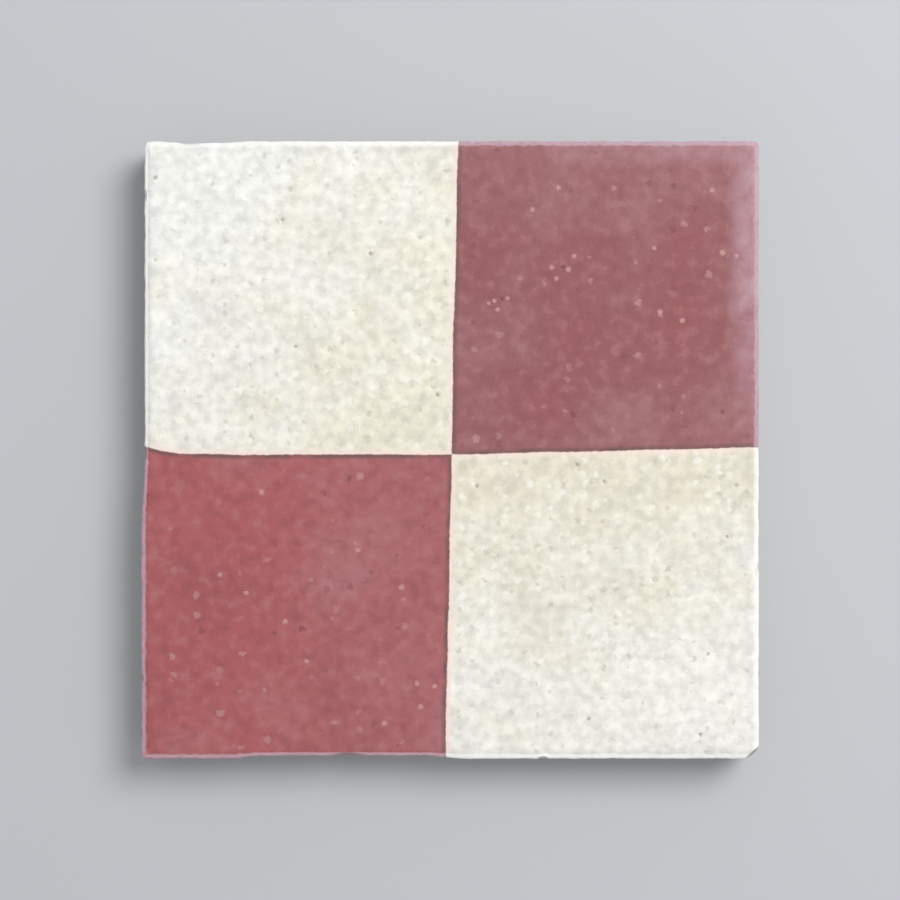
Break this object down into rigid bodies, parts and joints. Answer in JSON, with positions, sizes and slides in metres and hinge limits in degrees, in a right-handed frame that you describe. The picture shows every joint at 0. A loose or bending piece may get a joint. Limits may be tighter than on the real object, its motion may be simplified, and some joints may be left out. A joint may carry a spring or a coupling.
{
  "type": "cement floor tile",
  "caption": "Square pressed cement floor tile with a two-colour chequered face, leaning sides, worn arrises, a broken corner and a shallow sunk panel in its back.",
  "frame": {"origin": "centre of the back, in the plane that the tile is bedded on", "axes": "+Z out of the face; +X and +Y along the sides, with +Y away from the viewer who sees the broken corner at the front right"},
  "size_m": [0.2, 0.2, 0.02],
  "materials": {
    "tile_cement": "pressed pigmented cement, cream and oxide-red quarters, worn matt to a low sheen"
  },
  "bodies": {
    "root": {"tile": "tile_cement"}
  },
  "joints": []
}
